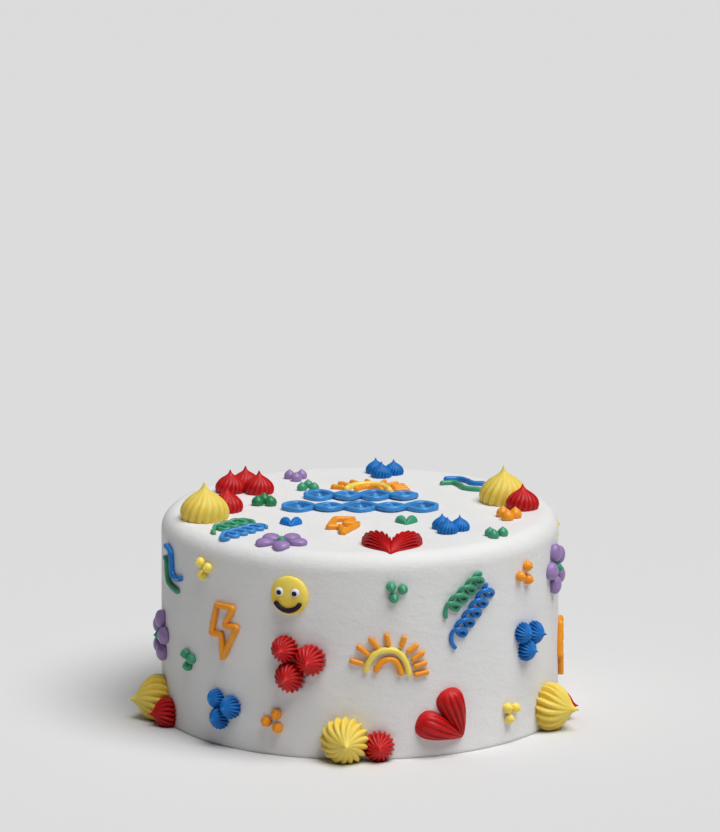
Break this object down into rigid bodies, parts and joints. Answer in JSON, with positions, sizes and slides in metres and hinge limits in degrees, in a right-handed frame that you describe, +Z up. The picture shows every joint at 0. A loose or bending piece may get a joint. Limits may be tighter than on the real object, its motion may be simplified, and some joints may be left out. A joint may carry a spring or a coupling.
{
  "type": "decorated birthday cake",
  "caption": "Round white iced cake covered with piped dollops, hearts, flowers, dots, curly lines and a smiling face.",
  "frame": {"origin": "centre of the flat base of the cake", "axes": "+Z up out of the top of the cake, -Y towards the front that faces the viewer, +X to the viewer's right"},
  "size_m": [0.2274, 0.226, 0.1226],
  "materials": {
    "white_icing": "matte buttercream with faint spatula marks",
    "yellow_icing": "satin piped buttercream",
    "red_icing": "satin piped buttercream",
    "blue_icing": "satin piped buttercream",
    "purple_icing": "satin piped buttercream",
    "green_icing": "satin piped buttercream",
    "orange_icing": "satin piped buttercream",
    "dark_icing": "satin piped buttercream"
  },
  "bodies": {
    "root": {"cake_body": "white_icing", "yellow_base_1": "yellow_icing", "yellow_base_2": "yellow_icing", "yellow_base_3": "yellow_icing", "yellow_base_4": "yellow_icing", "yellow_base_5": "yellow_icing", "yellow_top_left": "yellow_icing", "yellow_top_right": "yellow_icing", "red_base_1": "red_icing", "red_base_2": "red_icing", "red_base_3": "red_icing", "red_base_4": "red_icing", "red_base_5": "red_icing", "red_top_left": "red_icing", "red_top_right": "red_icing", "red_trio_front": "red_icing", "red_trio_back": "red_icing", "red_trio_top": "red_icing", "blue_trio_left": "blue_icing", "blue_trio_right": "blue_icing", "blue_trio_back": "blue_icing", "blue_trio_top_back": "blue_icing", "blue_trio_top_right": "blue_icing", "heart_front": "red_icing", "heart_back": "red_icing", "heart_top": "red_icing", "flower_left": "purple_icing", "flower_right": "purple_icing", "flower_top": "purple_icing", "smiling_face": "yellow_icing"}
  },
  "joints": []
}
